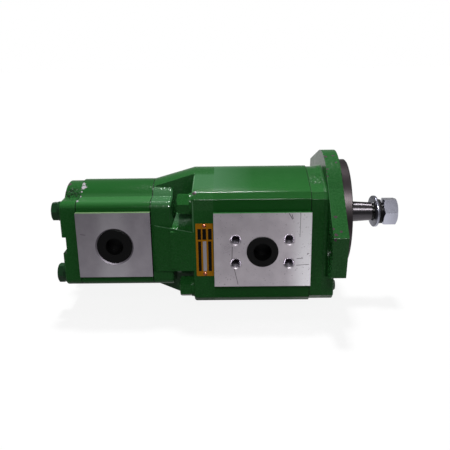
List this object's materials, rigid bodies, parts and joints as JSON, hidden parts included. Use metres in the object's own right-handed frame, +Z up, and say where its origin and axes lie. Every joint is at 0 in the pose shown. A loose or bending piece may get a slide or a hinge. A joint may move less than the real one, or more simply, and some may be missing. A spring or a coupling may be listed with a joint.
{
  "type": "tandem hydraulic gear pump",
  "caption": "Tandem external gear pump: a large and a small gear pump in line behind a two-bolt flange with a keyed, tapered drive shaft, with flanged and threaded side ports.",
  "frame": {"origin": "drive shaft axis at the mounting face of the two-bolt flange", "axes": "+X along the drive shaft, out of the flange; +Z up from the driven gears' axis to the drive shaft's; -Y is the side with the data plate"},
  "size_m": [0.323, 0.1798, 0.1434],
  "materials": {
    "painted_casting": "green enamel over a fine-grained iron casting, glossy",
    "painted_extrusion": "green enamel on extruded aluminium, port pads milled bare",
    "painted_steel": "green enamel over steel fasteners",
    "ground_steel": "hardened and ground steel",
    "zinc_plate": "bright zinc-plated steel",
    "black_steel": "black-oxide spring steel",
    "bearing_aluminium": "machined bearing alloy",
    "bearing_bronze": "sintered bronze bearing lining",
    "nitrile_rubber": "moulded black nitrile rubber",
    "printed_plate": "anodised plate printed amber and black, fields left bare",
    "copper_rivet": "copper-plated drive screws",
    "black_polyethylene": "moulded black polyethylene"
  },
  "bodies": {
    "housing": {"front_cover": "painted_casting", "adapter_housing": "painted_casting", "rear_cover": "painted_casting", "front_pump_body": "painted_extrusion", "rear_pump_body": "painted_extrusion", "clamp_studs": "painted_steel", "clamp_nuts": "painted_steel", "clamp_washers": "painted_steel", "rear_cover_bolts": "painted_steel", "rear_bolt_washers": "painted_steel", "front_dowels": "ground_steel", "rear_dowels": "ground_steel", "seal_retaining_ring": "black_steel", "front_pump_front_bearing_block": "bearing_aluminium", "front_pump_rear_bearing_block": "bearing_aluminium", "rear_pump_front_bearing_block": "bearing_aluminium", "rear_pump_rear_bearing_block": "bearing_aluminium", "front_pump_bushes": "bearing_bronze", "rear_pump_bushes": "bearing_bronze", "front_pump_pressure_seals": "nitrile_rubber", "rear_pump_pressure_seals": "nitrile_rubber", "front_cover_seal": "nitrile_rubber", "adapter_front_seal": "nitrile_rubber", "adapter_rear_seal": "nitrile_rubber", "rear_cover_seal": "nitrile_rubber", "shaft_seal": "nitrile_rubber", "nameplate": "printed_plate", "nameplate_rivets": "copper_rivet"},
    "drive_train": {"front_drive_shaft": "ground_steel", "rear_drive_shaft": "ground_steel", "coupling_sleeve": "ground_steel", "shaft_key": "ground_steel", "shaft_washer": "zinc_plate", "spring_washer": "black_steel", "shaft_nut": "zinc_plate"},
    "front_driven": {"front_driven_gear": "ground_steel"},
    "rear_driven": {"rear_driven_gear": "ground_steel"},
    "front_near_plug": {"front_near_port_plug": "black_polyethylene"},
    "front_far_plug": {"front_far_port_plug": "black_polyethylene"},
    "rear_near_plug": {"rear_near_port_plug": "black_polyethylene"},
    "rear_far_plug": {"rear_far_port_plug": "black_polyethylene"}
  },
  "joints": [
    {"name": "drive_spin", "type": "hinge", "parent": "housing", "child": "drive_train", "pos_m": [0, 0, 0], "axis": [1, 0, 0], "continuous": true},
    {"name": "front_driven_spin", "type": "hinge", "parent": "housing", "child": "front_driven", "pos_m": [-0.0713, 0, -0.0358], "axis": [1, 0, 0], "continuous": true},
    {"name": "rear_driven_spin", "type": "hinge", "parent": "housing", "child": "rear_driven", "pos_m": [-0.2057, 0, -0.0324], "axis": [1, 0, 0], "continuous": true},
    {"name": "front_near_plug_pull", "type": "slide", "parent": "housing", "child": "front_near_plug", "axis": [0, -1, 0], "range_m": [0, 0.02]},
    {"name": "front_far_plug_pull", "type": "slide", "parent": "housing", "child": "front_far_plug", "axis": [0, 1, 0], "range_m": [0, 0.02]},
    {"name": "rear_near_plug_pull", "type": "slide", "parent": "housing", "child": "rear_near_plug", "axis": [0, -1, 0], "range_m": [0, 0.018]},
    {"name": "rear_far_plug_pull", "type": "slide", "parent": "housing", "child": "rear_far_plug", "axis": [0, 1, 0], "range_m": [0, 0.018]}
  ],
  "couplings": [
    {"joint": "front_driven_spin", "follows": "drive_spin", "ratio": -1},
    {"joint": "rear_driven_spin", "follows": "drive_spin", "ratio": -1}
  ]
}
